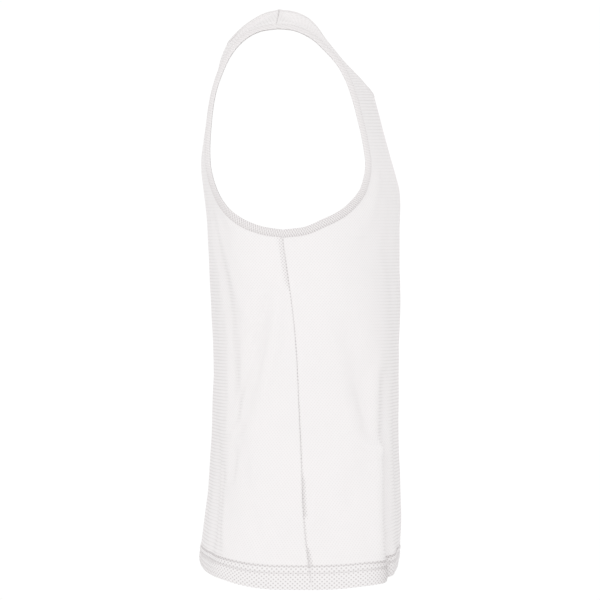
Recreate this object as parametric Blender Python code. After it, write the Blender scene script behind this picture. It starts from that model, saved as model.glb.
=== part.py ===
"""A training bib: a sleeveless vest of white knitted mesh, filled out as if it were worn.

It is cut and sewn from a front panel, a back panel, a binding round each armhole and a
binding round the neck. Each panel's lower edge is turned up as a double hem.
Metres, +Z up, the front faces -Y and the wearer's right is at -X. The origin is midway
between the two shoulder seams.

A panel is a stack of rows. A row is half a flattened ellipse, from the centre line or the
neck edge out to the side seam or the armhole edge.
"""

from collections import namedtuple
from math import asin, exp, pi, sin

import bpy
import numpy as np

MM = 0.001

# Cloth and sewing, in millimetres
CLOTH_WALL = 1.2
BINDING_WIDTH = 9.0
BINDING_WALL = 2.4
BINDING_EVENS_OUT = 0.12
SEAM_GAP = 0.3

# How finely the cloth is divided
COLUMNS = 17
BODY_ROWS = 11
NECK_STATION_SHARE = 1.5
NECK_ROW_FALL = 3.5
CURVE_STEPS = 240
LEAN_STEP = 0.004

# How often the bends round the neck are eased, over how many rows below its lowest point, the
# share of a row that stays as it is at either end, and the share over which the easing sets in
EASE_STEPS = 14
EASE_ROWS = 9
EASE_EDGE = 0.1
EASE_FADE = 0.3

# The hem hangs lower at the side seams than at the centre lines: angles as shares of the way from
# the centre line to the seam, and the shares of the whole drop there
HEM_LOWEST = -654.0
HEM_TOP = -634.0
FRONT_DROP = ((0.0, 0.19, 0.39, 0.52, 0.8, 1.0), (0.0, 0.31, 0.62, 0.77, 0.88, 1.0))
BACK_DROP = ((0.0, 0.35, 0.56, 0.7, 0.81, 0.9, 1.0), (0.0, 0.45, 0.66, 0.82, 0.925, 0.985, 1.0))

# Heights are those of the centre lines. Above the underarm a section is wider than its panels,
# which end at the armhole, and above the neck it is only the form that the straps lie on.
Section = namedtuple("Section", "height front back seam half_width drop front_square back_square")
SECTIONS = (
    Section(-654, 144.3, -93.0, 41.0, 215.0, 34.0, 4.2, 3.6),
    Section(-634, 146.0, -91.0, 37.5, 215.0, 26.0, 4.2, 3.6),
    Section(-610, 147.0, -87.0, 34.0, 213.0, 20.0, 4.1, 3.6),
    Section(-580, 146.2, -82.4, 31.0, 211.0, 16.0, 4.0, 3.5),
    Section(-520, 143.8, -77.8, 28.5, 208.0, 9.0, 3.7, 3.3),
    Section(-460, 143.8, -76.4, 25.5, 206.0, 4.0, 3.3, 2.9),
    Section(-400, 145.5, -77.0, 22.5, 204.0, 1.0, 2.9, 2.8),
    Section(-340, 147.6, -80.0, 16.5, 202.0, 0.0, 2.65, 3.0),
    Section(-300, 146.5, -82.0, 11.0, 201.0, 0.0, 2.55, 3.3),
    Section(-265, 146.5, -83.5, 6.6, 200.0, 0.0, 2.5, 3.5),
    Section(-240, 147.0, -85.0, 6.6, 200.0, 0.0, 2.5, 3.6),
    Section(-222, 147.3, -87.0, 6.6, 200.0, 0.0, 2.5, 3.6),
    Section(-206, 146.0, -89.0, 6.6, 200.0, 0.0, 2.5, 3.6),
    Section(-190, 141.8, -91.0, 6.6, 200.0, 0.0, 2.5, 3.6),
    Section(-170, 136.0, -91.3, 6.6, 200.0, 0.0, 2.5, 3.6),
    Section(-146, 129.1, -88.3, 6.6, 200.0, 0.0, 2.4, 3.6),
    Section(-122, 123.2, -84.6, 6.6, 200.0, 0.0, 2.1, 3.5),
    Section(-95.5, 115.8, -78.7, 6.6, 200.0, 0.0, 1.9, 3.3),
    Section(-72, 110.0, -72.9, 6.6, 200.0, 0.0, 1.9, 3.0),
    Section(-50, 104.0, -68.0, 6.6, 200.0, 0.0, 1.9, 2.7),
    Section(-32, 99.0, -60.5, 6.6, 200.0, 0.0, 1.9, 2.5),
)

# Where the bindings are sewn on: across from the centre, forward of the shoulder, height
Edge = namedtuple("Edge", "across forward height")
FRONT_ARMHOLE = (
    Edge(200.0, 6.6, -265.0), Edge(198.0, 38.0, -260.4), Edge(194.0, 57.0, -252.0),
    Edge(187.5, 72.0, -245.0), Edge(179.5, 84.6, -236.8), Edge(170.0, 95.4, -226.3),
    Edge(159.0, 104.9, -213.0), Edge(148.5, 110.3, -196.0), Edge(140.5, 112.3, -177.0),
    Edge(135.5, 110.0, -158.0), Edge(133.5, 106.7, -140.0), Edge(133.0, 102.4, -122.0),
    Edge(133.0, 96.4, -99.0), Edge(134.0, 89.2, -78.0), Edge(134.7, 77.2, -55.2),
    Edge(135.3, 59.6, -35.6), Edge(136.0, 41.8, -20.3), Edge(136.0, 21.0, -10.8),
    Edge(135.0, -1.2, -8.4),
)
BACK_ARMHOLE = (
    Edge(200.0, 6.6, -265.0), Edge(199.0, -22.0, -260.4), Edge(194.5, -40.5, -253.4),
    Edge(187.0, -53.8, -244.8), Edge(177.0, -63.6, -235.5), Edge(164.5, -71.4, -224.3),
    Edge(151.5, -77.9, -210.2), Edge(141.0, -82.8, -194.7), Edge(134.5, -86.0, -178.0),
    Edge(132.0, -86.8, -160.0), Edge(131.0, -85.8, -138.0), Edge(131.5, -83.1, -112.0),
    Edge(132.0, -78.5, -88.0), Edge(133.0, -71.4, -65.5), Edge(134.0, -62.8, -47.0),
    Edge(134.7, -53.9, -34.0), Edge(135.5, -38.4, -20.2), Edge(135.5, -20.0, -11.8),
    Edge(135.0, -1.2, -8.4),
)
FRONT_NECK = (
    Edge(0.0, 115.8, -95.5), Edge(20.0, 114.4, -93.5), Edge(38.0, 111.2, -88.5),
    Edge(52.5, 105.0, -81.0), Edge(64.0, 98.0, -73.0), Edge(73.0, 88.3, -63.0),
    Edge(80.0, 78.4, -52.5), Edge(86.0, 69.0, -41.0), Edge(91.0, 56.5, -25.5),
    Edge(94.0, 46.5, -11.5), Edge(95.3, 35.5, -1.5), Edge(95.3, 20.5, 5.0),
    Edge(94.4, 1.8, 7.4),
)
BACK_NECK = (
    Edge(0.0, -60.5, -32.0), Edge(22.0, -59.8, -31.0), Edge(42.0, -57.3, -28.0),
    Edge(58.0, -52.5, -22.5), Edge(70.5, -45.0, -15.0), Edge(80.5, -35.5, -7.5),
    Edge(88.0, -24.5, -0.5), Edge(92.7, -12.0, 4.8), Edge(94.4, 1.8, 7.4),
)

# The binding turns in round the arm until it faces so far to the side, but not close to the
# shoulder, where the turn fades out over a length in millimetres
Face = namedtuple("Face", "name square drop_shares armhole neck chest_rows strap_rows band_turn band_fade")
FRONT = Face("front", "front_square", FRONT_DROP, FRONT_ARMHOLE, FRONT_NECK, 15, 12, 0.7, 60.0)
BACK = Face("back", "back_square", BACK_DROP, BACK_ARMHOLE, BACK_NECK, 18, 7, 0.54, 35.0)

# The armhole edge leaves the section between these shares of the section's depth
LEAVES_SECTION = (0.45, 0.78)

# A fold runs from its top to its low end. Its ends are so far from the side seam, measured
# round the cloth, and bow is how far its middle lies from the straight line. Above the
# underarm the seam's line is carried on. A trough has a depth below zero.
Fold = namedtuple("Fold", "face side top low top_out low_out bow width depth")
RIGHT, LEFT, BOTH = (-1,), (1,), (-1, 1)
FOLDS = (
    Fold("back", RIGHT, -318, -525, 28, 94, -12, 13, -5.0),
    Fold("back", RIGHT, -325, -475, 12, 64, -6, 12, 3.5),
    Fold("back", RIGHT, -380, -505, 84, 90, 4, 10, -4.5),
    Fold("back", RIGHT, -225, -400, 84, 98, 0, 16, -2.5),
    Fold("back", RIGHT, -555, -640, 40, 34, 0, 11, -2.0),
    Fold("back", LEFT, -300, -505, 30, 86, -9, 14, -4.5),
    Fold("back", LEFT, -400, -565, 76, 98, 5, 12, -3.5),
    Fold("back", BOTH, -190, -420, 195, 170, 10, 20, -3.0),
    Fold("back", BOTH, -430, -652, 222, 230, 6, 20, 2.5),
    Fold("back", BOTH, -480, -652, 165, 158, 0, 18, -3.5),
    Fold("front", RIGHT, -415, -525, 62, 92, 8, 16, -3.5),
    Fold("front", RIGHT, -535, -600, 62, 58, 0, 12, -2.5),
    Fold("front", RIGHT, -440, -660, 98, 92, 0, 14, 3.0),
    Fold("front", RIGHT, -278, -325, 14, 34, 0, 12, -1.5),
    Fold("front", LEFT, -400, -540, 58, 84, 7, 15, -3.5),
    Fold("front", LEFT, -450, -660, 100, 95, 0, 14, 3.0),
    Fold("front", BOTH, -215, -430, 170, 195, -10, 20, -2.5),
    Fold("front", BOTH, -440, -652, 182, 176, 5, 18, -4.0),
    Fold("front", BOTH, -400, -652, 232, 236, 5, 20, 2.0),
)
SEAM_CALM = 14.0

# The hem from its lower fold up: share of its height, how far the cloth stands out, and wall
HemRow = namedtuple("HemRow", "share outward wall")
HEM = (
    HemRow(0.0, 0.0, 1.8), HemRow(0.14, 0.5, 2.6), HemRow(0.42, 0.6, 2.6), HemRow(0.66, -0.1, 2.2),
    HemRow(0.83, 0.8, 2.6), HemRow(1.0, -0.2, 2.0), HemRow(1.2, 0.0, 1.2),
)

# The binding's cross-section: share of its width, and share of half its wall
Corner = namedtuple("Corner", "outward raised")
BINDING_SHAPE = (
    Corner(0.0, 0.75), Corner(0.45, 1.0), Corner(0.88, 0.8), Corner(1.0, 0.0),
    Corner(0.88, -0.8), Corner(0.45, -1.0), Corner(0.0, -0.75),
)

Row = namedtuple("Row", "inner outer half_width square drop drop_shares outward wall")


def slopes(places, values):
    """The slope of the curve through known values, at each of its places."""
    return np.gradient(np.asarray(values, float), np.asarray(places, float), axis=0)


def smooth_at(places, values, place):
    """The value at a place on the smooth curve through known values at rising places."""
    values = np.asarray(values, float)
    slope = slopes(places, values)
    i = int(np.clip(np.searchsorted(places, place) - 1, 0, len(places) - 2))
    span = places[i + 1] - places[i]
    t = (place - places[i]) / span
    start = (1 + 2 * t) * (1 - t) ** 2 * values[i] + t * (1 - t) ** 2 * span * slope[i]
    end = t * t * (3 - 2 * t) * values[i + 1] + t * t * (t - 1) * span * slope[i + 1]
    return start + end


def even_lengths(points):
    """The share of a line's length at which each of its points lies."""
    steps = np.linalg.norm(np.diff(points, axis=0), axis=1)
    lengths = np.concatenate([[0.0], np.cumsum(steps)])
    return lengths / lengths[-1]


def along(edge, share):
    """The point at a share of the way along an edge, as across, forward and height."""
    points = np.array(edge, float)
    return smooth_at(even_lengths(points), points, share)


def share_at_height(edge, height):
    """How far along a rising edge it reaches a height."""
    shares = np.linspace(0, 1, CURVE_STEPS)
    heights = [along(edge, s)[2] for s in shares]
    return float(np.interp(height, heights, shares))


def lean_of(across, half_width, square):
    """The angle on the flattened ellipse at a distance across."""
    return asin(min(1.0, across / half_width) ** (square / 2))


def row_point(row, lean):
    """The point of a row at an angle on its flattened ellipse, in millimetres."""
    first = lean_of(row.inner[0], row.half_width, row.square)
    last = lean_of(row.outer[0], row.half_width, row.square)
    power = 2 / row.square
    lean = np.asarray(lean, float)
    depth, depth_in, depth_out = (
        np.cos(np.minimum(a, pi / 2)).clip(0) ** power for a in (lean, first, last)
    )
    share = (depth - depth_out) / (depth_in - depth_out)
    across = row.half_width * np.sin(lean.clip(0, pi / 2)) ** power
    forward = row.outer[1] + (row.inner[1] - row.outer[1]) * share
    height = row.outer[2] + (row.inner[2] - row.outer[2]) * share
    height = height - row.drop * np.interp(lean / (pi / 2), *row.drop_shares)
    return np.stack([across, -forward, height], axis=-1)


def row_leans(row):
    """The angles that split a row into columns of equal length."""
    first = lean_of(row.inner[0], row.half_width, row.square)
    last = lean_of(row.outer[0], row.half_width, row.square)
    leans = np.linspace(first, last, CURVE_STEPS)
    return np.interp(np.linspace(0, 1, COLUMNS + 1), even_lengths(row_point(row, leans)), leans)


def section_at(height):
    """The section at a height, with all of its columns worked out."""
    return Section(*smooth_at([s.height for s in SECTIONS], SECTIONS, height))


def body_row(face, height, outward, wall):
    """A row below the underarm, from the centre line to the side seam."""
    section = section_at(height)
    inner = (0.0, getattr(section, face.name), height)
    outer = (section.half_width, section.seam, height)
    square = getattr(section, face.square)
    width, drop = section.half_width, section.drop
    return Row(inner, outer, width, square, drop, face.drop_shares, outward, wall)


def upper_row(face, inner, outer):
    """A row above the underarm, out to the armhole edge."""
    section = section_at(min(inner[2], SECTIONS[-1].height))
    square = getattr(section, face.square)
    width, shares = section.half_width, face.drop_shares
    return Row(tuple(inner), tuple(outer), width, square, 0.0, shares, 0.0, CLOTH_WALL)


def hem_rows(face):
    rows = []
    for hem in HEM:
        height = HEM_LOWEST + hem.share * (HEM_TOP - HEM_LOWEST)
        rows.append(body_row(face, height, hem.outward, hem.wall))
    return rows


def body_rows(face):
    low = HEM_LOWEST + HEM[-1].share * (HEM_TOP - HEM_LOWEST)
    heights = np.linspace(low, face.armhole[0].height, BODY_ROWS + 2)[1:-1]
    return [body_row(face, height, 0.0, CLOTH_WALL) for height in heights]


def edge_across(face, section, edge):
    """How far across the armhole edge lies: on the section itself close to the side seam."""
    centre, square = getattr(section, face.name), getattr(section, face.square)
    depth = (edge[1] - section.seam) / (centre - section.seam)
    if depth >= LEAVES_SECTION[1]:
        return edge[0]
    on_section = section.half_width * (1 - max(depth, 0.0) ** square) ** (1 / square)
    share = (depth - LEAVES_SECTION[0]) / (LEAVES_SECTION[1] - LEAVES_SECTION[0])
    share = min(max(share, 0.0), 1.0)
    return on_section + (edge[0] - on_section) * share * share * (3 - 2 * share)


def chest_rows(face, neck_share):
    """Rows from the centre line to the armhole edge, up to the bottom of the neck."""
    rows = []
    underarm, neck = face.armhole[0].height, face.neck[0].height
    for share in np.linspace(0, neck_share, face.chest_rows):
        outer = along(face.armhole, share)
        rise = (outer[2] - underarm) / (along(face.armhole, neck_share)[2] - underarm)
        height = underarm + rise * (neck - underarm)
        section = section_at(height)
        outer[0] = edge_across(face, section, outer)
        rows.append(upper_row(face, (0.0, getattr(section, face.name), height), outer))
    return rows


def strap_rows(face, neck_share):
    """Rows from the neck edge to the armhole edge, up to the shoulder seam."""
    rows = []
    for step in range(1, face.strap_rows + 1):
        share = step / face.strap_rows
        inner = along(face.neck, share)
        outer = along(face.armhole, neck_share + (1 - neck_share) * share**NECK_STATION_SHARE)
        rows.append(upper_row(face, inner, outer))
    return rows


def panel_rows(face):
    neck_share = share_at_height(face.armhole, face.neck[0].height - NECK_ROW_FALL)
    return [
        *hem_rows(face), *body_rows(face), *chest_rows(face, neck_share), *strap_rows(face, neck_share)
    ]


def row_normals(rows, number, leans):
    """Which way the cloth faces along a row, from its neighbours at the same angles."""
    below, above = rows[max(number - 1, 0)], rows[min(number + 1, len(rows) - 1)]
    up = row_point(above, leans) - row_point(below, leans)
    out = row_point(rows[number], leans + LEAN_STEP) - row_point(rows[number], leans - LEAN_STEP)
    normals = np.cross(out, up)
    return normals / np.linalg.norm(normals, axis=1)[:, None]


def fold_height(face, side, out, height):
    """How far the folds lift the cloth at a distance from the side seam's line."""
    total = 0.0
    for fold in FOLDS:
        if fold.face != face.name or side not in fold.side or not fold.low < height < fold.top:
            continue
        share = (fold.top - height) / (fold.top - fold.low)
        line = fold.top_out + (fold.low_out - fold.top_out) * share + fold.bow * sin(pi * share)
        total += fold.depth * sin(pi * share) ** 0.5 * exp(-(((out - line) / fold.width) ** 2))
    return total


def eased(face, lines):
    """The lines of all rows, with the bends from row to row evened out round the neck."""
    neck = len(HEM) + BODY_ROWS + face.chest_rows - 1
    rows, columns = np.arange(len(lines))[:, None], np.arange(COLUMNS + 1)[None, :]
    from_end = np.minimum(columns, COLUMNS - columns) / COLUMNS - EASE_EDGE
    ease = np.clip(1 - (neck - rows) / EASE_ROWS, 0, 1) * np.clip(from_end / EASE_FADE, 0, 1)
    ease = ease[1:-1, :, None] / 2
    for step in range(EASE_STEPS):
        below, middle, above = lines[:-2], lines[1:-1], lines[2:]
        low = np.linalg.norm(middle - below, axis=2)[..., None]
        high = np.linalg.norm(above - middle, axis=2)[..., None]
        straight = (below * high + above * low) / (low + high)
        lines[1:-1] = middle + (straight - middle) * ease
    return lines


def half_panel(face, side):
    """Points, normals and walls of one half of a panel, as arrays of rows by columns."""
    rows = panel_rows(face)
    leans = [row_leans(row) for row in rows]
    lines = eased(face, np.array([row_point(row, lean) for row, lean in zip(rows, leans)]))
    points, normals, walls = [], [], []
    reach = 0.0
    for number, row in enumerate(rows):
        line = lines[number]
        facing = row_normals(rows, number, leans[number])
        if side < 0:
            line[:, 0] *= -1
            facing[:, 0] *= -1
        if face is BACK:
            facing *= -1
        length = np.linalg.norm(np.diff(line, axis=0), axis=1).sum()
        ends = length * (1 - even_lengths(line))
        start = row.inner[0]
        if number < len(HEM) + BODY_ROWS + 1:
            reach = length
        outs = reach - start - length + ends
        calm = 1 - np.exp(-((ends / SEAM_CALM) ** 2))
        if start > 0:
            calm = calm * (1 - np.exp(-(((length - ends) / SEAM_CALM) ** 2)))
        folds = np.array([fold_height(face, side, o, p[2]) for o, p in zip(outs, line)])
        points.append(line + facing * (folds * calm + row.outward)[:, None])
        normals.append(facing)
        walls.append(np.full(len(line), row.wall))
    return np.array(points), np.array(normals), np.array(walls)


def half_gap(face, points):
    """Moves a panel's side edge and shoulder edge back by half the seam's gap."""
    forward = -1 if face is FRONT else 1
    side_rows = len(HEM) + BODY_ROWS + 1
    points[:side_rows, -1, 1] += forward * SEAM_GAP / 2
    points[-1, :, 1] += forward * SEAM_GAP / 2
    return points


class Sheet:
    """A panel's middle surface: vertices, normals, walls and four-sided faces."""

    def __init__(self, face):
        self.face = face
        self.points, self.normals, self.walls, self.quads = [], [], [], []
        self.halves = {}
        self.fill()

    def fill(self):
        centre = {}
        split = len(HEM) + BODY_ROWS + self.face.chest_rows
        for side in BOTH:
            points, normals, walls = half_panel(self.face, side)
            points = half_gap(self.face, points)
            numbers = np.zeros(points.shape[:2], int)
            for r, c in np.ndindex(numbers.shape):
                if c == 0 and r < split and r in centre:
                    numbers[r, c] = centre[r]
                    continue
                numbers[r, c] = len(self.points)
                self.points.append(points[r, c])
                self.normals.append(normals[r, c])
                self.walls.append(walls[r, c])
            if not centre:
                centre = {r: numbers[r, 0] for r in range(split)}
            self.halves[side] = numbers
            self.add_quads(numbers, side)
        for number in centre.values():
            self.points[number][0] = 0.0
            self.normals[number][0] = 0.0

    def add_quads(self, numbers, side):
        outward = (side > 0) == (self.face is FRONT)
        for r in range(numbers.shape[0] - 1):
            for c in range(numbers.shape[1] - 1):
                quad = [numbers[r, c], numbers[r, c + 1], numbers[r + 1, c + 1], numbers[r + 1, c]]
                self.quads.append(quad if outward else quad[::-1])

    def armhole_edge(self, side):
        """Vertex numbers of the armhole edge, from the underarm up."""
        return self.halves[side][len(HEM) + BODY_ROWS:, -1]

    def neck_edge(self, side):
        """Vertex numbers of the neck edge, from the centre up."""
        return self.halves[side][len(HEM) + BODY_ROWS + self.face.chest_rows - 1:, 0]


def split_quad(corners, points):
    """Two triangles of a four-sided face, cut along its shorter diagonal."""
    a, b, c, d = corners
    if np.linalg.norm(points[a] - points[c]) <= np.linalg.norm(points[b] - points[d]):
        return [(a, b, c), (a, c, d)]
    return [(a, b, d), (b, c, d)]


def border(quads):
    """The edges that only one face has, each running as its face does."""
    edges = [(q[i], q[(i + 1) % 4]) for q in quads for i in range(4)]
    present = set(edges)
    return [(a, b) for a, b in edges if (b, a) not in present]


def add_object(name, points, faces, colour, roughness):
    """An object from points in millimetres and faces, with its own cloth material."""
    mesh = bpy.data.meshes.new(name)
    mesh.from_pydata((np.asarray(points) * MM).tolist(), [], [tuple(map(int, f)) for f in faces])
    mesh.shade_smooth()
    mesh.set_sharp_from_angle(angle=1.0)
    mesh.materials.append(cloth_material(name, colour, roughness))
    part = bpy.data.objects.new(name, mesh)
    bpy.context.collection.objects.link(part)
    return part


def cloth_material(name, colour, roughness):
    material = bpy.data.materials.new(name)
    material.use_nodes = True
    shader = material.node_tree.nodes["Principled BSDF"]
    shader.inputs["Base Color"].default_value = (*colour, 1.0)
    shader.inputs["Roughness"].default_value = roughness
    shader.inputs["Metallic"].default_value = 0.0
    return material


def add_panel(name, sheet, colour):
    """The cloth of a panel: its middle surface moved half a wall out and half a wall in."""
    middle, normals = np.array(sheet.points), np.array(sheet.normals)
    half = np.array(sheet.walls)[:, None] / 2
    outer, inner, count = middle + normals * half, middle - normals * half, len(middle)
    faces = []
    for quad in sheet.quads:
        for a, b, c in split_quad(quad, middle):
            faces.append((a, b, c))
            faces.append((c + count, b + count, a + count))
    for a, b in border(sheet.quads):
        faces.append((b, a, a + count))
        faces.append((b, a + count, b + count))
    return add_object(name, np.concatenate([outer, inner]), faces, colour, 0.78)


def stations(front, back, numbers_front, numbers_back, side=0):
    """A binding's line: up the front edge and down the back edge, as points and normals."""
    def taken(sheet, numbers):
        face, shoulder = sheet.face, sheet.points[numbers[-1]]
        line = []
        for number in numbers:
            point, normal = sheet.points[number], sheet.normals[number]
            away = np.linalg.norm(point - shoulder) / face.band_fade
            turn = max(0.0, face.band_turn - abs(normal[0])) * (1 - exp(-away * away))
            line.append((point, normal + np.array([side * turn, 0.0, 0.0])))
        return line

    up, down = taken(front, numbers_front), taken(back, numbers_back)[::-1]
    shoulder = [(up[-1][0] / 2 + down[0][0] / 2, up[-1][1] + down[0][1])]
    return up[:-1], shoulder, down[1:]


def armhole_line(front, back, side):
    edges = front.armhole_edge(side), back.armhole_edge(side)
    up, shoulder, down = stations(front, back, *edges, side)
    underarm = [(up[0][0] / 2 + down[-1][0] / 2, up[0][1] + down[-1][1])]
    return underarm + up[1:] + shoulder + down[:-1]


def neck_line(front, back):
    right = stations(front, back, front.neck_edge(-1), back.neck_edge(-1))
    left = stations(front, back, front.neck_edge(1), back.neck_edge(1))
    right_way = right[0] + right[1] + right[2]
    left_way = left[0] + left[1] + left[2]
    return right_way + left_way[::-1][1:-1]


def add_binding(name, line, towards, colour):
    """A closed band sewn to an edge: each station is a cross-section beside the edge."""
    points = np.array([p for p, n in line])
    normals = np.array([n / np.linalg.norm(n) for p, n in line])
    beside = np.roll(normals, 1, axis=0) + np.roll(normals, -1, axis=0)
    normals = normals + beside * BINDING_EVENS_OUT
    runs = np.roll(points, -1, axis=0) - np.roll(points, 1, axis=0)
    faces, ring, corners = [], [], len(BINDING_SHAPE)
    for point, normal, run in zip(points, normals, runs):
        run = run / np.linalg.norm(run)
        normal = normal - run * normal.dot(run)
        normal = normal / np.linalg.norm(normal)
        out = np.cross(run, normal)
        out = out if out.dot(towards - point) > 0 else -out
        for corner in BINDING_SHAPE:
            reach = SEAM_GAP + corner.outward * (BINDING_WIDTH - SEAM_GAP)
            ring.append(point + out * reach + normal * corner.raised * BINDING_WALL / 2)
    count = len(points)
    ring = np.array(ring)
    for s in range(count):
        for k in range(corners):
            a, b = s * corners + k, s * corners + (k + 1) % corners
            c, d = ((s + 1) % count) * corners + (k + 1) % corners, ((s + 1) % count) * corners + k
            faces.extend(split_quad((a, b, c, d), ring))
    if signed_volume(ring, faces) < 0:
        faces = [face[::-1] for face in faces]
    return add_object(name, ring, faces, colour, 0.74)


def signed_volume(points, faces):
    corners = points[np.array(faces)]
    return np.einsum("ij,ij->i", corners[:, 0], np.cross(corners[:, 1], corners[:, 2])).sum() / 6


def clear_scene():
    for thing in list(bpy.data.objects):
        bpy.data.objects.remove(thing, do_unlink=True)


def main():
    clear_scene()
    front, back = Sheet(FRONT), Sheet(BACK)
    mesh_white, band_white = (0.90, 0.885, 0.885), (0.84, 0.82, 0.82)
    add_panel("front_panel", front, mesh_white)
    add_panel("back_panel", back, mesh_white)
    for name, side in (("right", -1), ("left", 1)):
        middle = np.array([side * 150.0, 0.0, -130.0])
        add_binding(f"{name}_armhole_binding", armhole_line(front, back, side), middle, band_white)
    add_binding("neck_binding", neck_line(front, back), np.array([0.0, -30.0, 0.0]), band_white)


main()
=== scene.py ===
# %% [markdown]
# # A training bib of white knitted mesh
# A training bib is a light sleeveless vest that a player pulls over a shirt. This one has five
# pieces: a front, a back, a folded binding round each armhole and one round the neck.
# It is filled out as if worn, with nobody in it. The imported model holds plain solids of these
# pieces, and each of them gets its real cloth here.

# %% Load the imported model
from collections import namedtuple
from math import pi, radians

import bpy
import numpy as np
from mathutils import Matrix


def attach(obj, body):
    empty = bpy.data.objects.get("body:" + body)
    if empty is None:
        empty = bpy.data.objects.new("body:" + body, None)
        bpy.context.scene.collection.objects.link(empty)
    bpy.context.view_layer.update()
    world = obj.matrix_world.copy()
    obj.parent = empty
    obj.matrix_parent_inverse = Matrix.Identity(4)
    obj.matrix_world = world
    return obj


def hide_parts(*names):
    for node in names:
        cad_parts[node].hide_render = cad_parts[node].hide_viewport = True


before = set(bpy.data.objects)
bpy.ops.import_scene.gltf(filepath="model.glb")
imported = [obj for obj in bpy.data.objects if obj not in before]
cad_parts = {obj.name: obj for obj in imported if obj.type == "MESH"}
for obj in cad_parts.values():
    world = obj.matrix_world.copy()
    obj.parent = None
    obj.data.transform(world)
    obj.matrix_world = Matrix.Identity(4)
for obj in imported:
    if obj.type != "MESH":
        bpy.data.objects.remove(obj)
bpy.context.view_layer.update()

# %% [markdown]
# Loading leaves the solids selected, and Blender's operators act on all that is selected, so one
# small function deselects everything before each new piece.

print("solids", sorted(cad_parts))
MM = 0.001


def deselect():
    if bpy.context.object and bpy.context.object.mode != "OBJECT":
        bpy.ops.object.mode_set(mode="OBJECT")
    bpy.ops.object.select_all(action="DESELECT")


deselect()

# %% [markdown]
# The bib's form is known from its sections. A section is half a flattened ellipse: how far the
# cloth reaches to the front, back and side at one height, and how square its corner is. The hem
# drops lower at the side seams, and the two tables of drop shares tell how much of that there is
# on the way from the centre line. The same sizes made the solids, so the cloth lies where they
# are.

# %% The sections of the body
Section = namedtuple("Section", "height front back seam half_width drop front_square back_square")
SECTIONS = [Section(*row) for row in (
    (-654, 144.3, -93, 41, 215, 34, 4.2, 3.6), (-634, 146, -91, 37.5, 215, 26, 4.2, 3.6),
    (-610, 147, -87, 34, 213, 20, 4.1, 3.6), (-580, 146.2, -82.4, 31, 211, 16, 4, 3.5),
    (-520, 143.8, -77.8, 28.5, 208, 9, 3.7, 3.3), (-460, 143.8, -76.4, 25.5, 206, 4, 3.3, 2.9),
    (-400, 145.5, -77, 22.5, 204, 1, 2.9, 2.8), (-340, 147.6, -80, 16.5, 202, 0, 2.65, 3),
    (-300, 146.5, -82, 11, 201, 0, 2.55, 3.3), (-265, 146.5, -83.5, 6.6, 200, 0, 2.5, 3.5),
    (-240, 147, -85, 6.6, 200, 0, 2.5, 3.6), (-222, 147.3, -87, 6.6, 200, 0, 2.5, 3.6),
    (-206, 146, -89, 6.6, 200, 0, 2.5, 3.6), (-190, 141.8, -91, 6.6, 200, 0, 2.5, 3.6),
    (-170, 136, -91.3, 6.6, 200, 0, 2.5, 3.6), (-146, 129.1, -88.3, 6.6, 200, 0, 2.4, 3.6),
    (-122, 123.2, -84.6, 6.6, 200, 0, 2.1, 3.5), (-95.5, 115.8, -78.7, 6.6, 200, 0, 1.9, 3.3),
    (-72, 110, -72.9, 6.6, 200, 0, 1.9, 3), (-50, 104, -68, 6.6, 200, 0, 1.9, 2.7),
    (-32, 99, -60.5, 6.6, 200, 0, 1.9, 2.5),
)]
HEM_LOWEST = -654.0
HEM_TOP = -634.0
FRONT_DROP = ((0, 0.19, 0.39, 0.52, 0.8, 1), (0, 0.31, 0.62, 0.77, 0.88, 1))
BACK_DROP = ((0, 0.35, 0.56, 0.7, 0.81, 0.9, 1), (0, 0.45, 0.66, 0.82, 0.925, 0.985, 1))
print(len(SECTIONS), "sections")

# %% [markdown]
# Above the underarm the cloth ends at the armhole, and higher up also at the neck. These four
# lines are where the bindings are sewn on, from the underarm or the centre up to the shoulder.
# An armhole's binding turns in round the arm, but less and less near the shoulder.

# %% The sewing lines of armholes and neck
Edge = namedtuple("Edge", "across forward height")


def edge_line(*rows):
    """A sewing line of points, each given as across, forward and height."""
    return [Edge(*row) for row in rows]


FRONT_ARMHOLE = edge_line(
    (200, 6.6, -265), (198, 38, -260.4), (194, 57, -252), (187.5, 72, -245), (179.5, 84.6, -236.8),
    (170, 95.4, -226.3), (159, 104.9, -213), (148.5, 110.3, -196), (140.5, 112.3, -177),
    (135.5, 110, -158), (133.5, 106.7, -140), (133, 102.4, -122), (133, 96.4, -99), (134, 89.2, -78),
    (134.7, 77.2, -55.2), (135.3, 59.6, -35.6), (136, 41.8, -20.3), (136, 21, -10.8),
    (135, -1.2, -8.4),
)
BACK_ARMHOLE = edge_line(
    (200, 6.6, -265), (199, -22, -260.4), (194.5, -40.5, -253.4), (187, -53.8, -244.8),
    (177, -63.6, -235.5), (164.5, -71.4, -224.3), (151.5, -77.9, -210.2), (141, -82.8, -194.7),
    (134.5, -86, -178), (132, -86.8, -160), (131, -85.8, -138), (131.5, -83.1, -112),
    (132, -78.5, -88), (133, -71.4, -65.5), (134, -62.8, -47), (134.7, -53.9, -34),
    (135.5, -38.4, -20.2), (135.5, -20, -11.8), (135, -1.2, -8.4),
)
FRONT_NECK = edge_line(
    (0, 115.8, -95.5), (20, 114.4, -93.5), (38, 111.2, -88.5), (52.5, 105, -81), (64, 98, -73),
    (73, 88.3, -63), (80, 78.4, -52.5), (86, 69, -41), (91, 56.5, -25.5), (94, 46.5, -11.5),
    (95.3, 35.5, -1.5), (95.3, 20.5, 5), (94.4, 1.8, 7.4),
)
BACK_NECK = edge_line(
    (0, -60.5, -32), (22, -59.8, -31), (42, -57.3, -28), (58, -52.5, -22.5), (70.5, -45, -15),
    (80.5, -35.5, -7.5), (88, -24.5, -0.5), (92.7, -12, 4.8), (94.4, 1.8, 7.4),
)
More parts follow.
